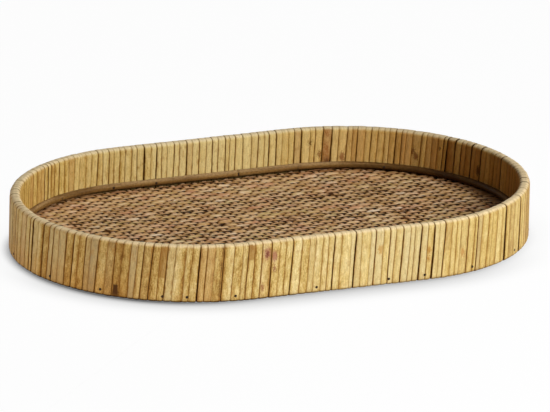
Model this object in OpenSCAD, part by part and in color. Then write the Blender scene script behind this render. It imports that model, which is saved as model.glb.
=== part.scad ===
// Serving tray: a bent hoop wrapped in flat rattan peel round a base panel with a woven reed mat.
// The origin is the middle of the underside, +X runs along the tray and +Z is up.

/* [Tray] */
// Overall length of the tray
tray_l = 560; // [420:1:700]
// Overall width of the tray, which is also the diameter of its round ends
tray_w = 366; // [260:1:400]
// Height of the wrapped rim
rim_h = 62; // [45:1:100]

/* [Hoop] */
// Thickness of each of the two bent plies
ply_t = 4.4; // [3.2:0.1:6]
// Glue line between the two plies
glue_gap = 0.1; // [0.05:0.05:0.3]
// Radius on the four long edges of the hoop
hoop_edge_r = 2; // [1:0.1:3]
// Gap at the butt joint of each ply
ply_joint = 0.3; // [0.1:0.1:1]
// Distance of each butt joint from the middle of the back
ply_joint_x = 60; // [10:1:75]

/* [Wrap] */
// Width of the flat rattan peel
peel_w = 7.5; // [5:0.1:10]
// Thickness of the peel
peel_t = 1.1; // [0.7:0.1:1.6]
// Gap between neighbouring turns, along the middle of the rim
peel_gap = 0.7; // [0.6:0.05:1.2]
// Clearance between the peel and the hoop
peel_clear = 0.05; // [0.02:0.01:0.2]
// Slit between one turn and the next, under the hoop
peel_slit = 0.3; // [0.1:0.1:1]
// Height of the wrapped rim above the table that the panel stands on
rim_lift = 0.3; // [0.1:0.1:1]

/* [Base panel] */
// Thickness of the panel
panel_t = 14; // [9:0.5:18]
// Gap between the panel's edge and the wrapped rim
panel_clear = 0.3; // [0.1:0.1:1]
// Bevel on the panel's edges
panel_bevel = 0.8; // [0.3:0.1:2]

/* [Woven mat] */
// Width of the straight flat stakes, which run across the tray
stake_w = 3.2; // [2:0.1:3.4]
// Thickness of the stakes
stake_t = 1.2; // [1:0.1:1.8]
// Width of the weavers, which run along the tray
weaver_w = 5.2; // [3:0.1:7]
// Thickness of the weavers
weaver_t = 1.1; // [0.8:0.1:2.2]
// Gap between neighbouring weavers
weaver_gap = 0.7; // [0.3:0.1:1.5]
// Clearance between weavers, stakes, panel and trim
weave_clear = 0.1; // [0.05:0.05:0.2]
// Gap between the cut edge of the mat and the wrapped rim
mat_clear = 0.6; // [0.2:0.1:2]

/* [Trim cane] */
// Height of the half-round cane
trim_h = 7; // [5:0.5:12]
// Thickness of the cane, from the rim to its crown
trim_t = 4.6; // [3.8:0.1:8]
// Clearance between the cane and the rim
trim_clear = 0.1; // [0.05:0.05:0.3]
// Gap at the cane's butt joint
trim_joint = 0.4; // [0.2:0.1:1]
// Distance of that joint from the middle of the back, up to half a turn of the wrap
trim_joint_x = 40; // [0:1:70]

/* [Brads] */
// Diameter of a brad's shank
brad_d = 1.2; // [0.8:0.1:1.6]
// Diameter of a brad's head
brad_head_d = 2.4; // [1.8:0.1:3]
// Thickness of a brad's head
brad_head_t = 0.5; // [0.3:0.1:0.7]
// Clearance round a brad in its hole
brad_clear = 0.04; // [0.02:0.01:0.1]
// Length of the brads through the rim into the panel's edge
rim_brad_l = 22; // [18:1:30]
// Length of the brads through the cane into the hoop
trim_brad_l = 11; // [9:0.5:12]

/* [Hidden] */
$fn = 48;

end_r = tray_w / 2;
side_l = tray_l - tray_w;
half_side = side_l / 2;

// Faces that meet share sizes kept to a hundredth of a millimetre
function hundredth(v) = round(100 * v) / 100;

// A flat turn on a round end stands off the hoop by the sagitta of its reach
peel_reach = peel_w + peel_gap / 2;
peel_sag = pow(peel_reach, 2) / (2 * (end_r - 2 * ply_t - 4 * peel_t));
peel_seat = hundredth(peel_clear + peel_sag);
hoop_t = 2 * ply_t + glue_gap;
wall_t = hoop_t + 2 * (peel_seat + peel_t);
mid_r = end_r - wall_t / 2;
bore_r = end_r - wall_t;

hoop_z0 = rim_lift + peel_t + peel_seat;
hoop_z1 = rim_h - peel_t - peel_seat;
edge_r = min(hoop_edge_r, ply_t - glue_gap);
leg_z0 = hoop_z0 + edge_r;
leg_z1 = hoop_z1 - edge_r;
bend_in_r = edge_r + peel_seat;
bend_out_r = bend_in_r + peel_t;

// Turns of the wrap, counted along the middle of the rim from the middle of the front
arc_l = PI * mid_r;
rim_l = 2 * side_l + 2 * arc_l;
turns = floor(rim_l / (peel_w + peel_gap));
turn_pitch = rim_l / turns;
foot_shift = hundredth(turn_pitch / 2);

// The mat lies on the panel, and its stakes are the middle layer. A weaver is a chain of round bows
// that rise from mid-height, and their slope of 5 in 12 there sets the distance from stake to stake
weave_rise = (stake_t + weaver_t) / 2 + weave_clear;
bow_r = 13 * weave_rise;
bow_slope = [5 / 13, 12 / 13];
stake_pitch = 2 * bow_r * bow_slope.x;
mat_mid_z = panel_t + weave_clear + weaver_t / 2 + weave_rise;
mat_top_z = mat_mid_z + weave_rise + weaver_t / 2;
mat_r = bore_r - mat_clear;
weaver_pitch = weaver_w + weaver_gap;
weavers = floor(2 * mat_r / weaver_pitch);
stakes = floor(2 * (half_side + mat_r - stake_pitch / 2) / stake_pitch);

trim_z = mat_top_z + weave_clear;
trim_back_r = bore_r - trim_clear;

rim_brad_z = panel_t / 2;
trim_brad_z = trim_z + trim_h / 2;

// Hand-nailed brads: the share of the way round the rim at which each one is driven through a turn
rim_brad_share = [0.038, 0.066, 0.104, 0.153, 0.202, 0.246, 0.295, 0.344, 0.393, 0.437, 0.486, 0.536,
                  0.585, 0.634, 0.683, 0.732, 0.787, 0.831, 0.874, 0.891, 0.923, 0.984];
trim_brad_share = [0.016, 0.066, 0.115, 0.164, 0.213, 0.262, 0.311, 0.361, 0.426, 0.5355, 0.568, 0.6175,
                   0.667, 0.716, 0.765, 0.814, 0.863, 0.9125, 0.962];
rim_brad_list = [for (f = rim_brad_share) round(f * turns)];

// The cane's joint lies midway between two turns of the back, and both of them take a brad
trim_joint_turn = floor((rim_l / 2 - trim_joint_x - lean(trim_brad_z)) / turn_pitch);
trim_joint_s = (trim_joint_turn + 0.5) * turn_pitch + lean(trim_brad_z);
trim_brad_list = concat([for (f = trim_brad_share) round(f * turns)], [trim_joint_turn, trim_joint_turn + 1]);

// Place and heading [x, y, angle] at a distance along the middle of the rim
function along(s) =
    let (u = (s % rim_l + rim_l) % rim_l)
    u < half_side ? [u, -mid_r, 0] :
    u < half_side + arc_l ? end_point(u - half_side, 1) :
    u < half_side + arc_l + side_l ? [2 * half_side + arc_l - u, mid_r, 180] :
    u < rim_l - half_side ? end_point(u - half_side - arc_l - side_l, -1) :
    [u - rim_l, -mid_r, 0];

// A point on a round end, where way is 1 for the right end and -1 for the left
function end_point(d, way) =
    let (a = d / mid_r * 180 / PI)
    [way * (half_side + mid_r * sin(a)), -way * mid_r * cos(a), a + (way > 0 ? 0 : 180)];

// Side of the tray that a turn lies on: 0 front, 1 right end, 2 back, 3 left end
function turn_side(i) =
    let (s = i * turn_pitch)
    s < half_side ? 0 :
    s < half_side + arc_l ? 1 :
    s < half_side + arc_l + side_l ? 2 :
    s < rim_l - half_side ? 3 : 0;

// Half the length of the mat along a line at a distance d from the middle, for a strip of half width w
function mat_reach_x(d, w) = half_side + sqrt(pow(mat_r, 2) - pow(abs(d) + w, 2));
function mat_reach_y(d, w) = sqrt(pow(mat_r, 2) - pow(max(0, abs(d) + w - half_side), 2));

// Lean of a peel: its shift along the rim at a height, half a pitch from top to bottom
function lean(z) = foot_shift * (leg_z1 - z) / (leg_z1 - leg_z0);

// Sets a piece on the rim, with x along the rim and y towards the inside
module on_rim(i) {
    p = along(i * turn_pitch);
    translate([p.x, p.y, 0]) rotate(p.z) children();
}

// Carries a section, drawn as radius and height, round the whole rim
module round_rim() {
    for (a = [0, 180])
        rotate(a) {
            translate([-half_side, 0, 0]) rotate([90, 0, 90]) linear_extrude(side_l) children();
            translate([half_side, 0, 0]) rotate(-90) rotate_extrude(angle = 180) children();
        }
}

// Outline of the tray at a given radius of its ends
module stadium(r) {
    square([side_l, 2 * r], center = true);
    for (x = [-half_side, half_side]) translate([x, 0]) circle(r);
}

// Section of one ply, with the rounded edges on the side that the peel bends over
module ply_section(side) {
    inner = side * glue_gap / 2;
    outer = side * (glue_gap / 2 + ply_t);
    flat = outer - side * edge_r;
    translate([mid_r, 0]) {
        translate([min(inner, flat), hoop_z0]) square([ply_t - edge_r, hoop_z1 - hoop_z0]);
        translate([min(flat, outer), leg_z0]) square([edge_r, leg_z1 - leg_z0]);
        for (z = [leg_z0, leg_z1])
            intersection() {
                translate([flat, z]) circle(edge_r);
                translate([min(inner, flat, outer), hoop_z0]) square([2 * ply_t, hoop_z1 - hoop_z0]);
            }
    }
}

// A brad along y, with the outer face of its head at y = 0
module brad(l) {
    rotate([-90, 0, 0]) {
        cylinder(d = brad_d, h = l);
        cylinder(d = brad_head_d, h = brad_head_t);
    }
}

// The hole that a brad leaves, open in front of its head
module brad_hole(l) {
    c = brad_clear;
    rotate([-90, 0, 0]) {
        cylinder(d = brad_d + 2 * c, h = l + c);
        translate([0, 0, -brad_head_t]) cylinder(d = brad_head_d + 2 * c, h = 2 * brad_head_t + c);
    }
}

// A rim brad goes inwards from the outer face, through the middle of a leaning peel
module rim_brad_place(i) {
    on_rim(i) translate([-lean(rim_brad_z), -wall_t / 2, rim_brad_z]) children();
}

// A cane brad goes outwards from the crown of the cane, through the middle of a leaning peel
module trim_brad_place(i) {
    y = wall_t / 2 + trim_clear + trim_t;
    on_rim(i) translate([lean(trim_brad_z), y, trim_brad_z]) rotate(180) children();
}

module rim_brad_hole(i) {
    rim_brad_place(i) brad_hole(rim_brad_l);
}

module trim_brad_hole(i) {
    trim_brad_place(i) brad_hole(trim_brad_l);
}

module hoop_outer_ply() {
    color("tan")
        difference() {
            round_rim() ply_section(1);
            translate([ply_joint_x, mid_r, 0]) cube([ply_joint, 4 * ply_t, 3 * rim_h], center = true);
            for (i = rim_brad_list) rim_brad_hole(i);
            for (i = trim_brad_list) trim_brad_hole(i);
        }
}

module hoop_inner_ply() {
    color("tan")
        difference() {
            round_rim() ply_section(-1);
            translate([-ply_joint_x, mid_r, 0]) cube([ply_joint, 4 * ply_t, 3 * rim_h], center = true);
            for (i = rim_brad_list) rim_brad_hole(i);
            for (i = trim_brad_list) trim_brad_hole(i);
        }
}

// The peel's bend over the upper edge of the hoop, with its ends at y = 0
module bend_section() {
    flat = hoop_t - 2 * edge_r;
    difference() {
        union() {
            for (x = [-flat / 2, flat / 2]) translate([x, 0]) circle(bend_out_r);
            translate([-flat / 2, 0]) square([flat, bend_out_r]);
        }
        for (x = [-flat / 2, flat / 2]) translate([x, 0]) circle(bend_in_r);
        translate([-flat / 2, -1]) square([flat, bend_in_r + 1]);
        translate([-wall_t, -2 * bend_out_r]) square([2 * wall_t, 2 * bend_out_r]);
    }
}

// One face of a turn, which leans half a pitch from its top to its bottom
module peel_leg(shift) {
    rotate([90, 0, 0])
        linear_extrude(peel_t)
            polygon([[-peel_w / 2, leg_z1], [peel_w / 2, leg_z1],
                     [shift + peel_w / 2, leg_z0], [shift - peel_w / 2, leg_z0]]);
}

// Half of the bend under the hoop, up to the slit where the next turn carries on
module peel_foot(side) {
    translate([side * foot_shift, 0, leg_z0])
        mirror([0, 0, 1])
            rotate([90, 0, 90])
                linear_extrude(peel_w, center = true)
                    intersection() {
                        bend_section();
                        translate([side > 0 ? peel_slit / 2 : -wall_t, -1])
                            square([wall_t - peel_slit / 2, 2 * bend_out_r]);
                    }
}

module peel_turn() {
    translate([0, 0, leg_z1]) rotate([90, 0, 90]) linear_extrude(peel_w, center = true) bend_section();
    translate([0, -wall_t / 2 + peel_t, 0]) peel_leg(-foot_shift);
    translate([0, wall_t / 2, 0]) peel_leg(foot_shift);
    peel_foot(-1);
    peel_foot(1);
}

// The turns on one side of the tray, with the holes of the brads that go through them
module wrap(side) {
    for (i = [0:turns - 1])
        if (turn_side(i) == side)
            difference() {
                on_rim(i) peel_turn();
                for (k = rim_brad_list) if (k == i || k == (i + 1) % turns) rim_brad_hole(k);
                for (k = trim_brad_list) if (k == i) trim_brad_hole(k);
            }
}

module wrap_front() {
    color("burlywood") wrap(0);
}

module wrap_right_end() {
    color("burlywood") wrap(1);
}

module wrap_back() {
    color("burlywood") wrap(2);
}

module wrap_left_end() {
    color("burlywood") wrap(3);
}

// Edge of the panel, bevelled above and below
module panel_edge() {
    r = bore_r - panel_clear;
    b = panel_bevel;
    polygon([[r - 2 * b, 0], [r - b, 0], [r, b], [r, panel_t - b], [r - b, panel_t], [r - 2 * b, panel_t]]);
}

module base_panel() {
    color("peru")
        difference() {
            union() {
                linear_extrude(panel_t) stadium(bore_r - panel_clear - 2 * panel_bevel);
                round_rim() panel_edge();
            }
            for (i = rim_brad_list) rim_brad_hole(i);
        }
}

// Section of a stake: flat, with half-round edges
module stake_section() {
    r = stake_t / 2;
    flat = stake_w - stake_t;
    square([flat, stake_t], center = true);
    for (side = [-1, 1])
        translate([side * flat / 2, 0])
            intersection() {
                circle(r);
                translate([side * r, 0]) square([2 * r, 4 * r], center = true);
            }
}

module mat_stakes() {
    color("sienna")
        for (k = [0:stakes - 1]) {
            x = (k - (stakes - 1) / 2) * stake_pitch;
            l = 2 * mat_reach_y(x, stake_w / 2);
            translate([x, 0, mat_mid_z]) rotate([90, 0, 0]) linear_extrude(l, center = true) stake_section();
        }
}

// One bow of a weaver over a stake, from mid-height to mid-height
module weaver_bow() {
    far = 2 * bow_r;
    translate([0, weave_rise - bow_r])
        intersection() {
            difference() {
                circle(bow_r + weaver_t / 2);
                circle(bow_r - weaver_t / 2);
            }
            polygon([[0, 0], far * bow_slope, far * [-bow_slope.x, bow_slope.y]]);
        }
}

// A weaver passes over one stake and under the next, up to the cut edge of the mat
module weaver(j) {
    y = (j - (weavers - 1) / 2) * weaver_pitch;
    reach = mat_reach_x(y, weaver_w / 2);
    translate([0, y, mat_mid_z])
        rotate([90, 0, 0])
            linear_extrude(weaver_w, center = true)
                intersection() {
                    union() {
                        for (k = [-1:stakes]) {
                            x = (k - (stakes - 1) / 2) * stake_pitch;
                            if (abs(x) - stake_pitch / 2 < reach)
                                translate([x, 0])
                                    mirror([0, (j + k) % 2 == 0 ? 0 : 1])
                                        weaver_bow();
                        }
                    }
                    square([2 * reach, 4 * bow_r], center = true);
                }
}

module mat_weavers_odd() {
    color("chocolate")
        for (j = [0:weavers - 1])
            if (j % 2 == 1) weaver(j);
}

module mat_weavers_even() {
    color("chocolate")
        for (j = [0:weavers - 1])
            if (j % 2 == 0) weaver(j);
}

// Half-round section of the cane, with its flat back against the rim
module trim_section() {
    r = trim_h / 2;
    translate([trim_back_r + r - trim_t, trim_z]) {
        square([trim_t - r, trim_h]);
        translate([0, r])
            intersection() {
                circle(r);
                translate([-2 * r, -2 * r]) square([2 * r, 4 * r]);
            }
    }
}

module trim_cane() {
    color("saddlebrown")
        difference() {
            round_rim() trim_section();
            translate([rim_l / 2 - trim_joint_s, mid_r, 0])
                cube([trim_joint, 4 * wall_t, 3 * rim_h], center = true);
            for (i = trim_brad_list) trim_brad_hole(i);
        }
}

module rim_brads() {
    color("dimgray")
        for (i = rim_brad_list) rim_brad_place(i) brad(rim_brad_l);
}

module trim_brads() {
    color("dimgray")
        for (i = trim_brad_list) trim_brad_place(i) brad(trim_brad_l);
}

hoop_outer_ply();
hoop_inner_ply();
wrap_front();
wrap_right_end();
wrap_back();
wrap_left_end();
base_panel();
mat_stakes();
mat_weavers_odd();
mat_weavers_even();
trim_cane();
rim_brads();
trim_brads();
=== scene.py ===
"""Looks of the serving tray: the wrapped rim, the woven mat, the trim cane and the brads.

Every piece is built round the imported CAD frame, in its axes. Sizes are millimetres and become metres
when a mesh is made. Only the lights, the camera and the reach of the floor's shadows are set in metres.
The rim's path runs anticlockwise from the middle of the front: s is the distance along its middle line,
and q is the depth inwards from its outer face.
"""

import math

import bpy
import numpy as np
from mathutils import Matrix, Vector


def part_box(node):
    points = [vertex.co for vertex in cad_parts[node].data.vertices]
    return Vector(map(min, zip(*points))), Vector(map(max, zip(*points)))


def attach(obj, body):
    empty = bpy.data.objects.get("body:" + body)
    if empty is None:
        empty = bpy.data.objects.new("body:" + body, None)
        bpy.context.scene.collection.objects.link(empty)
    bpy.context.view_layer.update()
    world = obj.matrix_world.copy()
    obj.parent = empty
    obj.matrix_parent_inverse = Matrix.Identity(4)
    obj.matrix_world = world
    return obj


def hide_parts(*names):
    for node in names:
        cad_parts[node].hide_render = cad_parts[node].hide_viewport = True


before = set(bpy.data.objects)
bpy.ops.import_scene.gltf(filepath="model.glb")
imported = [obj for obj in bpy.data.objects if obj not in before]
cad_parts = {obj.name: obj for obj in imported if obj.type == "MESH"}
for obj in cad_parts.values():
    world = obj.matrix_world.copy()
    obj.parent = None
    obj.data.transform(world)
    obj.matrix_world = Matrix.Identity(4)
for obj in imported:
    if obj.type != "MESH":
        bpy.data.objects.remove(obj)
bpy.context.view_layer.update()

MM = 0.001
rng = np.random.default_rng(31)


# Sizes read from the frame

def box_mm(node):
    """Lowest and highest corner of a CAD node's box."""
    lo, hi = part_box(node)
    return np.array(lo) / MM, np.array(hi) / MM


front_lo, front_hi = box_mm("wrap_front")
hoop_hi = box_mm("hoop_outer_ply")[1]
trim_lo, trim_hi = box_mm("trim_cane")
stake_lo, stake_hi = box_mm("mat_stakes")

end_r = -front_lo[1]
wall_t = front_hi[1] - front_lo[1]
half_side = hoop_hi[0] - hoop_hi[1]
mid_r = end_r - wall_t / 2
rim_z0 = front_lo[2]
rim_z1 = front_hi[2]
arc_l = math.pi * mid_r
rim_l = 4 * half_side + 2 * arc_l


def on_rim(s, q):
    """Plan position of points s along the rim and q inwards from its outer face. The back and the left
    end are the front and the right end turned half round."""
    s = np.mod(np.asarray(s, float) + half_side, rim_l)
    r = end_r - np.asarray(q, float)
    way = np.where(s < rim_l / 2, 1, -1)
    s = np.mod(s, rim_l / 2)
    turn = np.maximum(s - 2 * half_side, 0) / mid_r
    x = np.minimum(s - half_side, half_side) + r * np.sin(turn)
    y = -r * np.cos(turn)
    return way * x, way * y


def rim_place(x, y):
    """Distance along the rim of the plan points x, y."""
    s = np.where(y < 0, x, rim_l / 2 - x)
    right = x > half_side
    left = x < -half_side
    s = np.where(right, half_side + mid_r * np.arctan2(x - half_side, -y), s)
    s = np.where(left, rim_l - half_side - mid_r * np.arctan2(-half_side - x, -y), s)
    return np.mod(s, rim_l)


def from_front(s):
    """The place s along the rim as a distance from the middle of the front, negative to the left."""
    return (s + rim_l / 2) % rim_l - rim_l / 2


def read_knots(at, knots):
    """Value at a place, from knots that are pairs of a place and a value."""
    return np.interp(at, *zip(*knots))


# Meshes

def add_object(name, data):
    piece = bpy.data.objects.new(name, data)
    bpy.context.scene.collection.objects.link(piece)
    return piece


def make_mesh(name, points, faces, values=None, smooth=True):
    """A mesh object from points in millimetres, with a float value per point for each name."""
    mesh = bpy.data.meshes.new(name)
    mesh.from_pydata((np.asarray(points) * MM).tolist(), [], faces)
    for key, column in (values or {}).items():
        data = mesh.attributes.new(key, "FLOAT", "POINT").data
        data.foreach_set("value", np.asarray(column, np.float32).ravel())
    mesh.polygons.foreach_set("use_smooth", np.full(len(mesh.polygons), smooth))
    mesh.update()
    return add_object(name, mesh)


def tube_faces(start, rings, sides):
    """Quads of a tube of rings with that many sides, and its two end caps."""
    faces = []
    for i in range(rings - 1):
        a = start + i * sides
        b = a + sides
        for j in range(sides):
            k = (j + 1) % sides
            faces.append((a + j, a + k, b + k, b + j))
    last = start + (rings - 1) * sides
    faces.append(tuple(range(start + sides - 1, start - 1, -1)))
    faces.append(tuple(range(last, last + sides)))
    return faces


def stand_for(piece, material, slot, *nodes):
    """The piece rides with the tray and stands for those CAD nodes."""
    piece.data.materials.append(material)
    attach(piece, "root")
    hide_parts(*nodes)


# Materials

def srgb(r, g, b):
    """Linear colour of an 8-bit sRGB colour."""
    return tuple(((c / 255 + 0.055) / 1.055) ** 2.4 if c > 10 else c / 3295 for c in (r, g, b)) + (1.0,)


class Net:
    """The nodes of a material or world, made by short calls. A value is a number, a colour or another
    node's output."""

    def __init__(self, owner):
        owner.use_nodes = True
        self.owner = owner
        self.tree = owner.node_tree
        self.tree.nodes.clear()

    def put(self, socket, value):
        """Links an output to the socket, or sets the socket to a plain value."""
        if isinstance(value, bpy.types.NodeSocket):
            self.tree.links.new(value, socket)
        else:
            socket.default_value = value

    def add(self, kind, *values, **named):
        """A node with values for its inputs, in order or by name. A name that starts in lower case is a
        setting of the node, and an underscore stands for a space in an input's name."""
        node = self.tree.nodes.new("ShaderNode" + kind)
        for key, value in named.items():
            if key[0].islower():
                setattr(node, key, value)
            else:
                self.put(node.inputs[key.replace("_", " ")], value)
        for socket, value in zip(node.inputs, values):
            self.put(socket, value)
        return node

    def attr(self, name):
        return self.add("Attribute", attribute_name=name).outputs["Fac"]

    def vector(self, operation, *values, **named):
        return self.add("VectorMath", *values, operation=operation, **named).outputs

    def shade(self, colour, factor):
        """The colour multiplied by a number from 0 up."""
        return self.vector("SCALE", colour, Scale=factor)[0]

    def place(self):
        """Position on the tray in millimetres."""
        return self.shade(self.add("TexCoord").outputs["Object"], 1 / MM)

    def facing(self):
        """How far the surface faces up, from -1 to 1."""
        return self.split(self.add("NewGeometry").outputs["Normal"])[2]

    def split(self, vector):
        return self.add("SeparateXYZ", vector).outputs

    def math(self, operation, a, b=0.0):
        return self.add("Math", a, b, operation=operation).outputs[0]

    def plus(self, a, b):
        return self.math("ADD", a, b)

    def times(self, a, b):
        return self.math("MULTIPLY", a, b)

    def part(self, noise, weight):
        """A noise value measured from its middle, times a weight."""
        return self.times(self.math("SUBTRACT", noise, 0.5), weight)

    def noise(self, vector, scale, detail, rough):
        node = self.add("TexNoise", Vector=vector, Scale=scale, Detail=detail, Roughness=rough)
        return node.outputs["Fac"]

    def grain(self, u, v, seed, scale=1.0, detail=4.0, rough=0.6):
        """Noise in two directions, each given as a place and how fast the noise changes along it."""
        spot = self.add("CombineXYZ", self.times(*u), self.times(*v), seed).outputs[0]
        return self.noise(spot, scale, detail, rough)

    def span(self, value, lo, hi, out_lo=0.0, out_hi=1.0):
        """The value's place between lo and hi, eased, as a number from out_lo to out_hi."""
        node = self.add("MapRange", value, lo, hi, out_lo, out_hi, interpolation_type="SMOOTHSTEP")
        return node.outputs["Result"]

    def ramp(self, value, stops):
        """A colour from stops, which are pairs of a value and an 8-bit colour."""
        node = self.add("ValToRGB", value)
        points = node.color_ramp.elements
        while len(points) < len(stops):
            points.new(1.0)
        for point, (place, colour) in zip(points, stops):
            point.position = place
            point.color = srgb(*colour)
        return node.outputs[0]

    def mix(self, factor, a, b, blend="MIX"):
        node = self.add("Mix", factor, data_type="RGBA", blend_type=blend)
        self.put(node.inputs[6], a)
        self.put(node.inputs[7], b)
        return node.outputs[2]

    def finish(self, colour, rough, height, depth, **named):
        """The surface, with a bump of the height field that is depth millimetres deep."""
        bump = self.add("Bump", Distance=depth * MM, Height=height).outputs[0]
        bsdf = self.add("BsdfPrincipled", Base_Color=colour, Roughness=rough, Normal=bump, **named)
        self.add("OutputMaterial", Surface=bsdf.outputs[0])
        return self.owner


def material_net(name):
    return Net(bpy.data.materials.new(name))


# Colours of the peel. Its straw tones run from brown to pale
PEEL_TONES = (
    (0.0, (118, 80, 34)), (0.2, (170, 132, 65)), (0.42, (208, 179, 109)),
    (0.66, (228, 207, 147)), (1.0, (242, 228, 178)),
)
# Paler peel of the rim's top, which also carries a painted highlight from above
RIM_TOP_PALE_AND_LIT = srgb(246, 222, 176)
TAN_PINK = srgb(198, 156, 102)
STRAW_GREY = srgb(208, 192, 146)
# The inner face is redder, most so at the right
INNER_TINT = (1.0, 0.91, 0.69, 1.0)
RIGHT_TINT = (1.05, 0.92, 0.82, 1.0)
# The foot of the left end is tanned
FOOT_TINT = (0.97, 0.84, 0.7, 1.0)
PATCH_BROWN = srgb(158, 112, 52)
PATCH_RED = srgb(164, 98, 44)
PATCH_DARK = srgb(86, 55, 25)
SMUDGE = srgb(182, 138, 74)
EDGE_GOLD = srgb(158, 112, 50)
# Dark edges of the turns, a colour also used for the painted shade behind the cane
EDGE_DARK_AND_SHADE = srgb(80, 54, 20)
# Colour of the painted shade along the very foot of the rim
FOOT_SHADE = srgb(46, 28, 11)
# Places along the tray between which a look changes
CALMER_X = (-60.0, 60.0)
TANNED_X = (-185.0, -245.0)
FEWER_SMUDGES_X = (-80.0, 40.0)
RUDDY_X = (60.0, 200.0)
FOOT_SHADE_X = (-140.0, 60.0)
# Lengths along a turn between which the inner face's look begins
INNER_ALONG = (72.0, 78.0)
# Heights between which the inner face goes down behind the cane and gets a painted shade
CANE_SHADE_Z = (19.5, 17.5)
# Share of a height that counts in stains and grit, so they are taller than wide
STAIN_SQUAT = 0.6
STAIN_COVER = 0.75
# Depth of the inner face
INNER_Q = 11.56
# Stains on each face: place along the rim, height, reach and colour
OUTER_STAINS = (
    (-85.0, 49.5, 5.4, (158, 96, 84)), (-85.2, 48.4, 2.2, (104, 40, 36)), (-77.2, 45.5, 5.6, (164, 104, 90)),
    (-76.6, 32.2, 2.6, (130, 60, 52)), (-90.0, 13.5, 3.4, (150, 92, 58)), (43.5, 40.0, 4.4, (190, 142, 66)),
    (98.8, 33.0, 3.2, (178, 120, 42)), (98.4, 25.0, 2.8, (168, 112, 44)), (138.5, 25.0, 4.0, (182, 130, 64)),
)
INNER_STAINS = (
    (513.4, 41.5, 3.2, (104, 40, 6)), (510.0, 35.5, 4.2, (110, 46, 8)), (425.5, 35.5, 5.0, (46, 16, 3)),
    (480.7, 48.8, 1.5, (56, 24, 6)), (627.5, 46.5, 2.4, (72, 32, 8)), (608.2, 23.0, 6.5, (80, 24, 6)),
    (616.5, 33.0, 3.8, (126, 62, 16)), (592.0, 29.5, 4.6, (134, 58, 20)),
)


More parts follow.
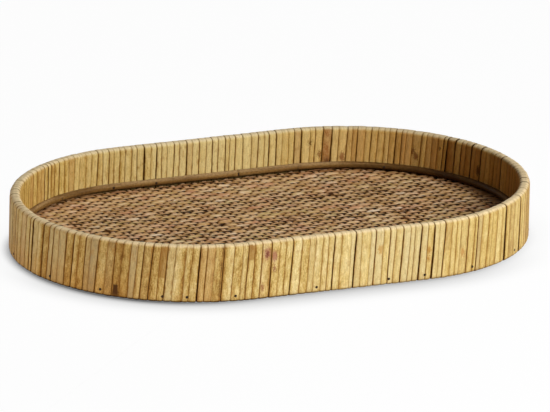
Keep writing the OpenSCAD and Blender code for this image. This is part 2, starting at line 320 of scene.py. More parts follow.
def peel_material():
    """Rattan peel: straw tones, brown lengths, stains, browned edges, a pale top with painted highlight, a
    painted shaded foot.
    """
    net = material_net("rattan_peel")
    across = net.attr("across")
    along = net.attr("along")
    place = net.place()
    x, _, height = net.split(place)
    seed = net.times(net.attr("pick"), 97.0)
    off = net.math("ABSOLUTE", across)

    fibre = net.grain((across, 4.6), (along, 0.075), seed, 1.2, 4.0, 0.62)
    cloud = net.grain((across, 0.8), (along, 0.085), seed, 1.0, 4.0, 0.62)
    smudge = net.grain((across, 1.1), (along, 0.11), net.plus(seed, 31.0), 1.0, 3.0, 0.6)
    fleck = net.grain((across, 7.0), (along, 0.9), seed, 1.0, 2.0, 0.5)
    squat = net.vector("MULTIPLY", place, (1.0, 1.0, STAIN_SQUAT))[0]
    grit = net.noise(squat, 0.9, 2.0, 0.6)

    # Straw tone of each turn, with its figure, and a painted shade to one side and towards the edges of its
    # crown
    figure = net.plus(net.part(cloud, 0.74), net.part(fibre, 0.6))
    figure = net.plus(figure, net.part(grit, 0.62))
    calm = net.span(x, *CALMER_X, 1.0, 0.6)
    tone = net.plus(net.attr("tone"), net.times(figure, calm))
    tone = net.plus(tone, net.times(net.attr("side"), across))
    tone = net.math("SUBTRACT", tone, net.times(net.math("POWER", off, 2.0), 0.16))
    colour = net.ramp(tone, PEEL_TONES)
    hue = net.attr("hue")
    colour = net.mix(net.span(hue, 0.2, 1.3, 0.0, 0.6), colour, TAN_PINK)
    colour = net.mix(net.span(hue, -0.2, -1.3, 0.0, 0.6), colour, STRAW_GREY)
    low_part = net.plus(height, net.part(smudge, 60.0))
    tanned = net.span(low_part, 40.0, 4.0, 0.0, net.span(x, *TANNED_X))
    colour = net.mix(tanned, colour, FOOT_TINT, "MULTIPLY")
    fewer = net.span(x, *FEWER_SMUDGES_X, 0.7, 0.42)
    colour = net.mix(net.span(smudge, 0.52, 0.74, 0.0, fewer), colour, SMUDGE)
    inner = net.span(along, *INNER_ALONG)
    colour = net.mix(inner, colour, INNER_TINT, "MULTIPLY")
    ruddy = net.times(inner, net.span(x, *RUDDY_X))
    colour = net.mix(ruddy, colour, RIGHT_TINT, "MULTIPLY")
    # Where the rim's top faces up it is paler: partly a greyer peel, partly a painted highlight
    top = net.times(net.span(net.facing(), 0.3, 0.95), net.span(cloud, 0.3, 0.6, 0.6, 0.95))
    colour = net.mix(top, colour, RIM_TOP_PALE_AND_LIT)

    # Brown lengths of single turns: weak ones are mottled brown, and a strong one is charred
    at = net.plus(along, net.part(fibre, 7.0))
    begun = net.span(net.math("SUBTRACT", at, net.attr("patch_low")), -1.0, 1.0)
    not_ended = net.span(net.math("SUBTRACT", net.attr("patch_high"), at), -1.0, 1.0)
    patch = net.times(begun, not_ended)
    strength = net.times(net.attr("patch_deep"), net.span(cloud, 0.25, 0.6, 0.65, 1.05))
    brown = net.times(net.span(strength, 0.0, 0.8), net.span(strength, 0.95, 0.8))
    mottle = net.times(brown, net.span(net.plus(grit, smudge), 0.75, 1.15, 0.6, 1.0))
    aged = net.mix(inner, PATCH_BROWN, PATCH_RED)
    colour = net.mix(net.times(patch, mottle), colour, aged)
    narrow = net.span(net.plus(off, net.part(smudge, 0.8)), 0.85, 0.55)
    char = net.times(net.times(patch, narrow), net.span(strength, 0.75, 1.0))
    colour = net.mix(char, colour, PATCH_DARK)

    for q, stains in ((0.0, OUTER_STAINS), (INNER_Q, INNER_STAINS)):
        for s, z, reach, stain in stains:
            spot = (*(float(v) for v in on_rim(s, q)), STAIN_SQUAT * z)
            far = net.plus(net.vector("DISTANCE", squat, spot)["Value"], net.part(fleck, 6.0))
            far = net.plus(far, net.part(grit, 6.0))
            cover = net.span(far, 0.3 * reach, reach, STAIN_COVER, 0.0)
            colour = net.mix(cover, colour, srgb(*stain))

    # Edges of the turns, less browned on the rim's top, where its paler peel and painted highlight cover
    # them
    edge = net.attr("edge")
    worn = net.math("SUBTRACT", 1.0, net.times(top, 0.6))
    rough_off = net.plus(off, net.part(smudge, 0.5))
    gold = net.times(net.span(rough_off, 0.66, 1.0), net.span(edge, 0.0, 0.8, 0.2, 1.0))
    colour = net.mix(net.times(gold, worn), colour, EDGE_GOLD)
    dark = net.times(net.span(off, 0.91, 1.0), net.span(edge, 0.45, 1.0))
    colour = net.mix(net.times(dark, worn), colour, EDGE_DARK_AND_SHADE)

    # Painted shade on the inner face behind the cane, a browned foot of the rim, and a painted shade along
    # its very foot
    behind_cane_shade = net.times(inner, net.span(height, *CANE_SHADE_Z, 0.0, 0.9))
    colour = net.mix(behind_cane_shade, colour, EDGE_DARK_AND_SHADE)
    foot = net.times(net.span(height, 7.0, 0.5), net.span(cloud, 0.35, 0.6, 0.1, 0.5))
    colour = net.mix(foot, colour, PATCH_BROWN)
    # Painted shade along the very foot, deepest towards the left
    foot_shade_share = net.span(x, *FOOT_SHADE_X, 0.95, 0.5)
    colour = net.mix(net.span(height, 3.8, 1.4, 0.0, foot_shade_share), colour, FOOT_SHADE)

    dots = net.span(fleck, 0.6, 0.72, 1.0, 0.62)
    lines = net.span(fibre, 0.25, 0.75, 0.86, 1.1)
    colour = net.shade(colour, net.times(dots, lines))
    rough = net.span(cloud, 0.3, 0.7, 0.46, 0.62)
    lump = net.noise(place, 0.22, 2.0, 0.5)
    relief = net.plus(net.times(fibre, 0.5), net.times(grit, 0.35))
    relief = net.plus(relief, net.times(lump, 1.1))
    return net.finish(colour, rough, relief, 0.34, Specular_IOR_Level=0.06)


# Colours painted on the weave: shade in its slits and on the way down to a stake, and dust with a painted
# shade close to the trim
SLIT_SHADE = srgb(60, 30, 10)
SHOULDER_SHADE = srgb(134, 88, 46)
TRIM_DUST_AND_SHADE = srgb(132, 84, 46)
WEAVER_TONES = (
    (0.15, (142, 98, 54)), (0.4, (202, 160, 104)),
    (0.6, (222, 186, 138)), (0.85, (242, 220, 190)),
)
WEAVER_ROSE = srgb(204, 142, 108)
WEAVER_OLIVE = srgb(202, 178, 116)
WEAVER_EDGE = srgb(110, 70, 34)
WEAVER_SHINE = srgb(244, 224, 190)
# Distances from the mat's outline between which the weave gets dusty and takes a painted shade from the trim
DUST_AND_SHADE_WALL = (19.0, 5.0)
# Between these places along the tray the mat is brightened by painted light, which lifts the shade at the
# right end
RIGHT_END_LIGHT_X = (210.0, 250.0)


def weaver_material():
    net = material_net("mat_weaver_reed")
    across = net.attr("across")
    along = net.attr("along")
    lift = net.attr("lift")
    seed = net.times(net.attr("pick"), 61.0)
    x, y, _ = net.split(net.place())
    streak = net.grain((across, 2.4), (along, 0.07), seed, 1.2)
    cloud = net.grain((x, 0.03), (y, 0.045), 3.0, rough=0.65)
    blush = net.grain((x, 0.022), (y, 0.04), 17.0, rough=0.7)
    tone = net.plus(cloud, net.part(streak, 0.8))
    tone = net.plus(tone, net.attr("worn"))
    colour = net.ramp(tone, WEAVER_TONES)
    colour = net.mix(net.span(blush, 0.5, 0.66, 0.0, 0.7), colour, WEAVER_ROSE)
    colour = net.mix(net.span(blush, 0.47, 0.34, 0.0, 0.6), colour, WEAVER_OLIVE)
    colour = net.mix(net.span(net.math("ABSOLUTE", across), 0.7, 1.0, 0.0, 0.6), colour, WEAVER_EDGE)
    # Painted highlight on the crests of the weavers
    shine = net.times(net.span(streak, 0.52, 0.68), net.span(lift, 0.7, 1.0, 0.0, 0.6))
    colour = net.mix(shine, colour, WEAVER_SHINE)
    # Dust and a painted shade near the trim
    colour = net.mix(net.span(net.attr("wall"), *DUST_AND_SHADE_WALL, 0.0, 0.7), colour, TRIM_DUST_AND_SHADE)
    # Painted shade on the way down to a stake, and darker still in the slits
    colour = net.mix(net.span(lift, 0.97, 0.1, 0.0, 0.62), colour, SHOULDER_SHADE)
    colour = net.mix(net.span(lift, 0.3, -0.65, 0.0, 0.88), colour, SLIT_SHADE)
    # Painted light that lifts the shade at the right end
    colour = net.shade(colour, net.span(x, *RIGHT_END_LIGHT_X, 1.0, 1.4))
    rough = net.span(streak, 0.3, 0.7, 0.55, 0.7)
    return net.finish(colour, rough, streak, 0.2, Specular_IOR_Level=0.0)


STAKE_TONES = ((0.25, (154, 108, 66)), (0.5, (202, 158, 114)), (0.75, (228, 196, 162)))


def stake_material():
    net = material_net("mat_stake_reed")
    x, y, _ = net.split(net.place())
    seed = net.times(net.attr("pick"), 53.0)
    grain = net.grain((x, 1.1), (y, 0.06), seed)
    colour = net.ramp(grain, STAKE_TONES)
    # Painted shade where the stake goes down under the weavers
    colour = net.mix(net.span(net.attr("lift"), -0.1, -0.95, 0.0, 0.8), colour, SLIT_SHADE)
    rough = net.span(grain, 0.3, 0.7, 0.55, 0.7)
    return net.finish(colour, rough, grain, 0.2, Specular_IOR_Level=0.0)


CANE_TONES = ((0.2, (62, 38, 17)), (0.48, (116, 83, 40)), (0.65, (146, 110, 58)), (0.85, (174, 140, 84)))
CANE_HIGHLIGHT = srgb(184, 156, 116)


def trim_material():
    """Half-round cane, with a painted highlight on its upper side and a painted shade towards its foot."""
    net = material_net("trim_cane")
    along = net.attr("along")
    around = net.attr("around")
    streak = net.grain((around, 5.0), (along, 0.02), 4.0, 1.2)
    cloud = net.grain((around, 0.6), (along, 0.016), 9.0)
    tone = net.plus(net.times(cloud, 0.6), net.times(streak, 0.4))
    tone = net.plus(tone, net.attr("tone"))
    colour = net.ramp(tone, CANE_TONES)
    most = net.span(tone, 0.35, 0.7, 0.0, 0.6)
    # Painted highlight on the upper side, where the tone is pale
    colour = net.mix(net.span(around, 0.1, 0.7, 0.0, most), colour, CANE_HIGHLIGHT)
    # Painted shade towards the foot of the half round
    colour = net.shade(colour, net.span(around, -0.9, -0.1, 0.62, 1.0))
    fleck = net.grain((around, 3.0), (along, 0.35), 2.0, detail=3.0)
    colour = net.shade(colour, net.span(fleck, 0.35, 0.68, 1.16, 0.74))
    rough = net.span(streak, 0.3, 0.7, 0.42, 0.58)
    return net.finish(colour, rough, streak, 0.15, Specular_IOR_Level=0.08)


STEEL_TONES = ((0.35, (40, 29, 20)), (0.55, (62, 44, 29)), (0.7, (92, 58, 34)))


def steel_material():
    net = material_net("brad_steel")
    rust = net.noise(net.place(), 1.6, 4.0, 0.6)
    colour = net.ramp(rust, STEEL_TONES)
    rough = net.span(rust, 0.4, 0.7, 0.5, 0.75)
    return net.finish(colour, rough, rust, 0.08, Metallic=0.4, Specular_IOR_Level=0.2)


HOOP_TONES = ((0.3, (38, 20, 9)), (0.55, (58, 33, 15)), (0.75, (78, 48, 24)))


def hoop_material():
    net = material_net("hoop_wood")
    x, y, z = net.split(net.place())
    flat = net.plus(x, y)
    grain_at = net.add("CombineXYZ", net.times(flat, 0.02), 0.0, net.times(z, 0.9))
    grain = net.noise(grain_at.outputs[0], 1.0, 5.0, 0.6)
    colour = net.ramp(grain, HOOP_TONES)
    rough = net.span(grain, 0.3, 0.7, 0.6, 0.8)
    return net.finish(colour, rough, grain, 0.2, Specular_IOR_Level=0.0)


PLY_THICK = 2.4
PLY_DARK = srgb(150, 108, 66)
PLY_PALE = srgb(206, 172, 124)
PANEL_TONES = ((0.2, (176, 138, 92)), (0.45, (204, 170, 124)), (0.7, (220, 190, 148)))
# Painted shade on the panel's upper face, which only shows through the weave
UNDER_MAT_SHADE = srgb(56, 36, 18)


def panel_material():
    """Plywood: a rotary-cut face, plies of alternate tone on the edge, and a painted shade on the upper
    face.
    """
    net = material_net("panel_wood")
    x, y, z = net.split(net.place())
    swirl = net.grain((x, 0.004), (y, 0.03), 0.0, rough=0.55)
    rings = net.math("FRACT", net.times(swirl, 9.0))
    figure = net.math("PINGPONG", rings, 0.5)
    pore = net.grain((x, 0.06), (y, 1.4), 5.0, detail=3.0)
    tone = net.plus(net.times(figure, 0.7), net.times(pore, 0.5))
    face = net.ramp(tone, PANEL_TONES)
    ply = net.math("PINGPONG", net.times(z, 1 / PLY_THICK), 1.0)
    edge = net.mix(net.span(ply, 0.35, 0.65), PLY_DARK, PLY_PALE)
    facing = net.facing()
    colour = net.mix(net.span(net.math("ABSOLUTE", facing), 0.3, 0.6), edge, face)
    # Painted shade on the upward face under the mat
    colour = net.mix(net.span(facing, 0.3, 0.6, 0.0, 0.9), colour, UNDER_MAT_SHADE)
    rough = net.span(pore, 0.3, 0.7, 0.5, 0.68)
    return net.finish(colour, rough, pore, 0.15, Specular_IOR_Level=0.3)


peel = peel_material()
reed = weaver_material()
stake_reed = stake_material()
cane = trim_material()
steel = steel_material()
hoop_wood = hoop_material()
panel_wood = panel_material()


# Brads, at the places that the CAD nodes have

# Points of two brads are further apart along the rim than this
BRAD_APART = 6.0
# Head of a brad: radius, and rise from the face that it is driven into
BRAD_HEAD = ((0.03, 0.15), (0.7, 0.13), (1.2, 0.07), (1.45, -0.02), (1.4, -0.25), (0.6, -0.45))
BRAD_SHANK_R = 0.6
BRAD_TIP_R = 0.05
BRAD_TIP_LENGTH = 1.0
BRAD_SIDES = 14
RIM_BRAD_LENGTH = 22.0
TRIM_BRAD_LENGTH = 11.0
TRIM_THICK = 4.6
trim_back_q = end_r - trim_hi[1]


def brad_places(node):
    """Distance along the rim and height of each brad in a CAD node."""
    points = np.array([v.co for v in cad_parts[node].data.vertices]) / MM
    s = rim_place(points[:, 0], points[:, 1])
    order = np.argsort(s)
    cuts = np.where(np.diff(s[order]) > BRAD_APART)[0] + 1
    places = []
    for group in np.split(order, cuts):
        turn = np.exp(2j * np.pi * s[group] / rim_l).mean()
        places.append((float(np.angle(turn)) / (2 * np.pi) * rim_l, float(points[group, 2].mean())))
    return places


def make_brads(name, node, face_q, outward, length):
    """Brads at the places of a node, with domed heads on the face at depth face_q. Outward is 1 for heads
    that point out of the tray and -1 for heads that point into it."""
    profile = BRAD_HEAD + ((BRAD_SHANK_R, BRAD_TIP_LENGTH - length), (BRAD_TIP_R, -length))
    points, faces = [], []
    for s, z in brad_places(node):
        faces += tube_faces(len(points), len(profile), BRAD_SIDES)
        x0, y0 = on_rim(s, face_q)
        x1, y1 = on_rim(s, face_q - outward)
        axis = np.array((x1 - x0, y1 - y0, 0.0))
        side = np.array((-axis[1], axis[0], 0.0))
        for radius, rise in profile:
            for i in range(BRAD_SIDES):
                turn = 2 * math.pi * i / BRAD_SIDES
                offset = axis * rise + side * radius * math.cos(turn)
                points.append(np.array((x0, y0, z + radius * math.sin(turn))) + offset)
    stand_for(make_mesh(name, points, faces), steel, "brad_steel", node)


make_brads("brads_rim", "rim_brads", 0.0, 1.0, RIM_BRAD_LENGTH)
make_brads("brads_trim", "trim_brads", trim_back_q + TRIM_THICK, -1.0, TRIM_BRAD_LENGTH)


# Wrapped rim

# Open gaps between turns: place at the rim's top, then gap at the top, outer foot and inner foot
OPEN_GAPS = (
    (-731.6, 0.7, 0.3, 0.8), (-696.7, 0.6, 0.3, 0.7), (-682.7, 1.1, 0.4, 1.6),
    (-641.6, 0.2, 0.3, 0.2), (-627.7, 0.2, 0.3, 0.3), (-353.6, 2.8, 2.0, 0.4),
    (-334.2, 0.4, 0.3, 0.2), (-318.5, 0.1, 0.7, 0.2), (-300.2, 0.7, 0.2, 0.2),
    (-275.5, 0.4, 0.3, 0.2), (-260.5, 0.3, 0.5, 0.3), (-211.8, 0.3, 0.4, 0.2),
    (-202.4, 0.5, 0.4, 0.2), (-187.4, 0.2, 0.5, 0.2), (-154.9, 1.0, 1.3, 0.4),
    (-130.2, 0.4, 0.4, 0.3), (-105.0, 0.4, 0.2, 0.3), (-78.8, 0.3, 0.8, 0.2),
    (-55.0, 0.6, 0.7, 0.2), (-8.0, 0.8, 0.9, 0.4), (16.3, 1.3, 1.1, 0.6),
    (38.6, 0.7, 0.4, 0.4), (55.0, 0.4, 0.4, 0.3), (69.9, 0.6, 0.7, 0.3),
    (90.6, 1.0, 1.3, 0.5), (105.4, 1.3, 1.7, 0.5), (117.8, 0.7, 0.2, 0.4),
    (147.0, 0.2, 0.4, 0.2), (160.0, 0.5, 0.6, 0.3), (207.0, 2.0, 3.2, 0.5),
    (242.2, 1.6, 2.8, 0.3), (291.0, 1.3, 1.8, 0.5), (306.0, 1.0, 0.3, 0.6),
    (382.5, 1.1, 0.3, 1.3), (421.0, 0.9, 0.3, 0.5), (436.0, 1.1, 0.3, 0.7),
    (451.2, 0.4, 0.3, 0.7), (460.0, 0.9, 0.3, 0.4), (471.0, 0.8, 0.4, 1.8),
    (533.0, 0.4, 0.3, 0.9), (575.3, 0.3, 0.3, 0.6), (603.2, 0.5, 0.4, 1.3),
    (612.7, 0.3, 0.3, 0.3), (637.5, 0.6, 0.4, 1.3), (645.2, 0.3, 0.3, 0.4),
    (675.3, 0.4, 0.3, 0.6),
)
# Gaps that stay open across the rim's top
NOTCHES = (306.0, 382.5, 421.0, 436.0, 460.0)
# A gap's share of its width on the very top, for notches and for the rest, and the drop where it is full
NOTCH_SHARE = 1.6
TOP_SHARE = 0.35
TOP_DROP = 0.14
# Brown lengths of single turns: place at the top, face, lowest and highest height, depth of the stain
BROWN_LENGTHS = (
    (-191.0, "outer", 27.0, 61.0, 0.6), (-99.5, "outer", 44.0, 61.0, 0.66),
    (-241.0, "outer", -4.0, 15.0, 1.4), (641.4, "inner", -4.0, 61.0, 0.35),
    (608.0, "inner", -4.0, 61.0, 0.6), (464.0, "inner", -4.0, 61.0, 0.45),
    (121.4, "outer", 30.5, 61.0, 0.34),
)
# For turns without a brown length
NO_LENGTH = (-50.0, -40.0)
TURN_WIDTH = 8.2
# Turns are narrower at the back, from the first of these places round to the second
BACK_TURN_WIDTH = 7.1
BACK_FROM = 470.0
BACK_TO = -560.0
# Spread of the widths, and the least and most of them
TURN_SPREAD = 0.24
TURN_SHARES = (0.66, 1.36)
NAILED_SPREAD = 0.15
# An edge of a nailed turn is left out when a listed gap is nearer than this
BORDER_APART = 5.0
LEAST_HALF_WIDTH = 1.2
TOP_R = 4.5
FOOT_R = 3.3
# Across a turn: place from one edge to the other, and depth below its crown
TURN_SECTION = (
    (-1.0, 0.74), (-0.985, 0.5), (-0.93, 0.33), (-0.8, 0.2), (-0.5, 0.07), (0.0, 0.0), (0.5, 0.07),
    (0.8, 0.2), (0.93, 0.33), (0.985, 0.5), (1.0, 0.74), (0.9, 1.02), (-0.9, 1.02),
)
# Share by which a turn is flatter on the rim's top
TOP_FLATTER = 0.5
# How far turns differ in the depth they lie at, and in their tilt
SEAT_SPREAD = 0.24
TILT_SPREAD = 0.08
# Lean of the turns along the rim, and what is added at the ends, at the right end and at the front
OUTER_LEAN = 3.7
OUTER_LEAN_ENDS = 1.6
INNER_LEAN = 1.4
INNER_LEAN_RIGHT = 5.2
INNER_LEAN_FRONT = 1.2
FRONT_REACH = 330
LEAN_SPREAD = 0.35
# Size and lengths of the waves in a border
RIPPLE = 0.22
RIPPLE_LENGTHS = (70, 130)


def wall_loop():
    """Rings of a turn from the middle of the underside, up the outer face, over and down the inner."""
    half = wall_t / 2
    rings = []

    def line(q0, z0, q1, z1, count, angle):
        for t in np.linspace(0, 1, count, endpoint=False):
            rings.append((q0 + (q1 - q0) * t, z0 + (z1 - z0) * t, angle))

    def bend(q, z, r, a0, a1, count):
        for a in np.linspace(a0, a1, count, endpoint=False):
            rings.append((q + r * math.cos(math.radians(a)), z + r * math.sin(math.radians(a)), a))

    line(half, rim_z0, FOOT_R, rim_z0, 2, 270)
    bend(FOOT_R, rim_z0 + FOOT_R, FOOT_R, 270, 180, 5)
    line(0, rim_z0 + FOOT_R, 0, rim_z1 - TOP_R, 9, 180)
    bend(TOP_R, rim_z1 - TOP_R, TOP_R, 180, 90, 8)
    line(TOP_R, rim_z1, wall_t - TOP_R, rim_z1, 2, 90)
    bend(wall_t - TOP_R, rim_z1 - TOP_R, TOP_R, 90, 0, 8)
    line(wall_t, rim_z1 - TOP_R, wall_t, rim_z0 + FOOT_R, 8, 0)
    bend(wall_t - FOOT_R, rim_z0 + FOOT_R, FOOT_R, 0, -90, 5)
    line(wall_t - FOOT_R, rim_z0, half, rim_z0, 2, -90)
    rings.append((half, rim_z0, -90))
    return np.array(rings)


# Along the loop: depth, height, angle, normal, length so far, and shares of the outer and inner leg
loop_q, loop_z, loop_a = wall_loop().T
loop_nq = np.cos(np.radians(loop_a))
loop_nz = np.sin(np.radians(loop_a))
loop_v = np.concatenate(((0.0,), np.cumsum(np.hypot(np.diff(loop_q), np.diff(loop_z)))))
drop = np.clip((rim_z1 - loop_z) / (rim_z1 - rim_z0), 0, 1)
outer_share = np.where(loop_q < wall_t / 2, drop, 0)
inner_share = np.where(loop_q >= wall_t / 2, drop, 0)
outer_share[0] = 1.0
inner_share[0] = 0.0
under = np.clip((np.minimum(loop_q, wall_t - loop_q) - FOOT_R) / (wall_t / 2 - FOOT_R), 0, 1)
under = np.where(loop_z < rim_z0 + 0.01, under, 0)


def lean_outer(s):
    """How far a turn leans back along the rim on its way down the outer face."""
    return OUTER_LEAN + OUTER_LEAN_ENDS * np.sin(np.abs(s) / rim_l * 2 * np.pi) ** 2


def lean_inner(s):
    """How far a turn leans on along the rim on its way down the inner face."""
    right = np.clip(np.sin(s / rim_l * 2 * np.pi), 0, 1) ** 2
    return INNER_LEAN + INNER_LEAN_RIGHT * right + INNER_LEAN_FRONT * (np.abs(s) < FRONT_REACH)


# Darkness of a listed gap's edges
GAP_DARK = 0.95
# Closed borders round the rim: place along it, how much darker and how much wider they are
BORDER_DARK = (
    (-760, 1.6), (-560, 1.6), (-330, 1.8), (-180, 1.25), (0, 0.6), (150, 0.36),
    (280, 0.5), (400, 1.1), (560, 1.4), (760, 1.6),
)
BORDER_GAP = ((-600, 1.0), (-450, 3.0), (-330, 3.0), (-200, 1.0))


def turn_borders():
    """Borders between neighbouring turns: the listed gaps, both edges of each nailed turn, and a natural
    run of widths in between. Each has its place, its gap at the top and the two feet, and its darkness."""
    rows = {round(s, 2): (top, out, inn) for s, top, out, inn in OPEN_GAPS}
    known = sorted(rows)
    for s, z in brad_places("rim_brads"):
        at = s + lean_outer(s) * (rim_z1 - z) / (rim_z1 - rim_z0)
        half = 0.5 * TURN_WIDTH * (1 + NAILED_SPREAD * float(rng.uniform(-1, 1)))
        for edge in (from_front(at - half), from_front(at + half)):
            if min(abs(edge - k) for k in known) > BORDER_APART:
                rows[round(edge, 2)] = None
    fixed = sorted(rows)
    borders = []
    for a, b in zip(fixed, fixed[1:] + [fixed[0] + rim_l]):
        middle = (a + b) / 2
        at_back = BACK_FROM < middle < rim_l + BACK_TO or middle < BACK_TO
        width = BACK_TURN_WIDTH if at_back else TURN_WIDTH
        count = max(1, round((b - a) / width))
        widths = np.clip(np.exp(rng.normal(0, TURN_SPREAD, count)), *TURN_SHARES)
        places = a + np.concatenate(((0.0,), np.cumsum(widths)[:-1])) * (b - a) / widths.sum()
        for i, s in enumerate(places):
            gaps = rows[a] if i == 0 else None
            dark = GAP_DARK
            if gaps is None:
                share = float(rng.uniform())
                dark = (0.15 + 0.6 * share ** 2) * read_knots(from_front(s), BORDER_DARK)
                gaps = (0.03 + 0.3 * share ** 6) * rng.uniform(0.6, 1.5, 3)
                gaps = gaps * read_knots(from_front(s), BORDER_GAP)
            borders.append((s, *gaps, dark))
    return np.array(borders)


borders = turn_borders()
turns = len(borders)


def border_lines():
    """Place of each border and the gap along it, at every ring of the loop."""
    s = borders[:, 0]
    out_foot = lean_outer(from_front(s)) + rng.normal(0, LEAN_SPREAD, turns)
    in_foot = lean_inner(from_front(s)) + rng.normal(0, LEAN_SPREAD, turns)
    wave = rng.uniform(*RIPPLE_LENGTHS, turns)
    phase = rng.uniform(0, 2 * np.pi, turns)
    line = s[:, None] - out_foot[:, None] * outer_share + in_foot[:, None] * inner_share
    ripple = RIPPLE * np.sin(2 * np.pi * loop_v / wave[:, None] + phase[:, None])
    line = line + ripple * (1 - under)
    # Under the rim, the end of each border meets the start of the next one
    before = np.roll(line[:, -1], 1)
    before[0] -= rim_l
    after = np.roll(line[:, 0], -1)
    after[-1] += rim_l
    start = loop_v < loop_v[-1] / 2
    joined = np.where(start, (line[:, :1] + before[:, None]) / 2, (line[:, -1:] + after[:, None]) / 2)
    line = line * (1 - under) + joined * under
    top, out, inn = borders[:, 1:4].T
    least = np.where(np.isin(np.round(s, 2), NOTCHES), NOTCH_SHARE, TOP_SHARE)[:, None]
    close = least + (1 - least) * np.clip(drop / TOP_DROP, 0, 1)
    gap = top[:, None] * (1 - drop) * close + out[:, None] * outer_share + inn[:, None] * inner_share
    return line, gap


def turn_points():
    """Points of every turn, as turns by rings by section by axes, and the middle of each turn's rings."""
    line, gap = border_lines()
    next_line = np.roll(line, -1, 0)
    next_line[-1] += rim_l
    low = line + gap / 2
    high = next_line - np.roll(gap, -1, 0) / 2
    middle = (low + high) / 2
    half = np.maximum((high - low) / 2, LEAST_HALF_WIDTH)
    u, depth = np.array(TURN_SECTION).T
    seat = rng.uniform(0.0, SEAT_SPREAD, turns)
    tilt = rng.normal(0, TILT_SPREAD, turns)
    flatter = 1 - TOP_FLATTER * np.clip(loop_nz, 0, 1)
    sink = depth * flatter[:, None] + (tilt[:, None, None] * u + np.abs(tilt)[:, None, None])
    sink = sink + seat[:, None, None]
    s = middle[:, :, None] + half[:, :, None] * u
    q = loop_q[:, None] - loop_nq[:, None] * sink
    z = loop_z[:, None] - loop_nz[:, None] * sink
    x, y = on_rim(s, q)
    return np.stack((x, y, z), -1), middle


turn_xyz, turn_middle = turn_points()
top_ring = int(np.argmax(loop_z))
turn_s = from_front(turn_middle[:, top_ring])


def leg_along(face, z):
    """Length along the loop at height z on the outer or inner face."""
    on_face = loop_a == (180 if face == "outer" else 0)
    i = int(np.argmax(on_face))
    climb = z - loop_z[i]
    return loop_v[i] + (climb if face == "outer" else -climb)


# Tone of the turns round the rim: its middle, then place along the rim and how much paler they are
TONE_MIDDLE = 0.52
TONE_KNOTS = (
    (-760, 0.46), (-640, 0.31), (-600, 0.16), (-575, 0.0), (-480, -0.06), (-350, 0.12),
    (-325, -0.04), (-280, -0.2), (-200, -0.18), (-160, -0.03), (-120, -0.06), (-75, -0.04),
    (0, 0.07), (70, 0.06), (120, -0.08), (175, -0.15), (220, -0.08), (320, -0.2), (380, 0.08),
    (480, 0.0), (600, 0.24), (760, 0.47),
)
# Hue of the turns round the rim: place along it and how much pinker they are
HUE_KNOTS = (
    (-760, 0.0), (-650, 0.1), (-560, 0.6), (-470, 0.5), (-400, 0.0), (-330, -0.45),
    (-220, -0.45), (-170, 0.0), (-60, 0.0), (-20, -0.65), (90, -0.65), (130, -0.25),
    (220, -0.25), (310, 0.9), (470, 0.8), (570, 0.2), (760, 0.0),
)
# How far turns differ in tone, in the painted shade to one side of the crown and in hue, with knots of where
# they differ more
TONE_SPREAD = 0.06
SIDE_SPREAD = 0.12
HUE_SPREAD = 0.6
TONE_SPREAD_KNOTS = ((520, 1.0), (620, 1.6))
SIDE_SPREAD_KNOTS = ((-100, 1.0), (40, 0.55))
HUE_SPREAD_KNOTS = ((-600, 0.4), (-420, 1.0), (-150, 1.0), (60, 0.65))


def turn_looks():
    """Values of every turn: tone, side of painted shade, hue, pick, and its brown length with the stain's
    depth.
    """
    uneven = TONE_SPREAD * read_knots(np.abs(turn_s), TONE_SPREAD_KNOTS)
    tone = TONE_MIDDLE + read_knots(turn_s, TONE_KNOTS) + uneven * rng.normal(0, 1.0, turns)
    side = rng.normal(0, SIDE_SPREAD, turns) * read_knots(turn_s, SIDE_SPREAD_KNOTS)
    hue = rng.normal(0, HUE_SPREAD, turns) * read_knots(turn_s, HUE_SPREAD_KNOTS)
    hue = hue + read_knots(turn_s, HUE_KNOTS)
    pick = rng.uniform(0, 1, turns)
    low, high = (np.full(turns, length) for length in NO_LENGTH)
    deep = np.zeros(turns)
    for s, face, z0, z1, depth in BROWN_LENGTHS:
        i = int(np.argmin(np.abs(turn_s - s)))
        low[i], high[i] = sorted((leg_along(face, z0), leg_along(face, z1)))
        deep[i] = depth
        hue[i] = 0.0
    patch = {"patch_low": low, "patch_high": high, "patch_deep": deep}
    return {"tone": tone, "side": side, "hue": hue, "pick": pick, **patch}


looks = turn_looks()


def make_wrap(name, node, chosen):
    """One stretch of the wrap, as an object of separate turns."""
    rings, sides = turn_xyz.shape[1:3]
    points = turn_xyz[chosen].reshape(-1, 3)
    faces = []
    for i in range(len(chosen)):
        faces += tube_faces(i * rings * sides, rings, sides)
    shape = (len(chosen), rings, sides)
    u = np.array(TURN_SECTION)[:, 0]
    low_edge = borders[chosen, 4][:, None, None]
    high_edge = borders[(chosen + 1) % turns, 4][:, None, None]
    values = {
        "edge": np.broadcast_to(np.where(u < 0, low_edge, high_edge), shape),
        "across": np.broadcast_to(u, shape),
        "along": np.broadcast_to(loop_v[:, None], shape),
    }
    for key, column in looks.items():
        values[key] = np.broadcast_to(column[chosen][:, None, None], shape)
    piece = make_mesh(name, points, faces, values)
    stand_for(piece, peel, "rattan_peel", node)


right_end = half_side + arc_l
for name, node, chosen in (
    ("peel_front", "wrap_front", np.abs(turn_s) <= half_side),
    ("peel_right_end", "wrap_right_end", (turn_s > half_side) & (turn_s <= right_end)),
    ("peel_back", "wrap_back", np.abs(turn_s) > right_end),
    ("peel_left_end", "wrap_left_end", (turn_s < -half_side) & (turn_s >= -right_end)),
):
    make_wrap(name, node, np.where(chosen)[0])


# Woven mat

STAKES = 41
WEAVERS = 57
# Width of a stake in the CAD, which the pitch is worked out from
CAD_STAKE_WIDTH = 3.2
WEAVER_PITCH = 5.9
MAT_RAISE = 0.2
WEAVER_RISE = 0.75
WEAVER_HALF_W = 2.68
WEAVER_HALF_T = 0.5
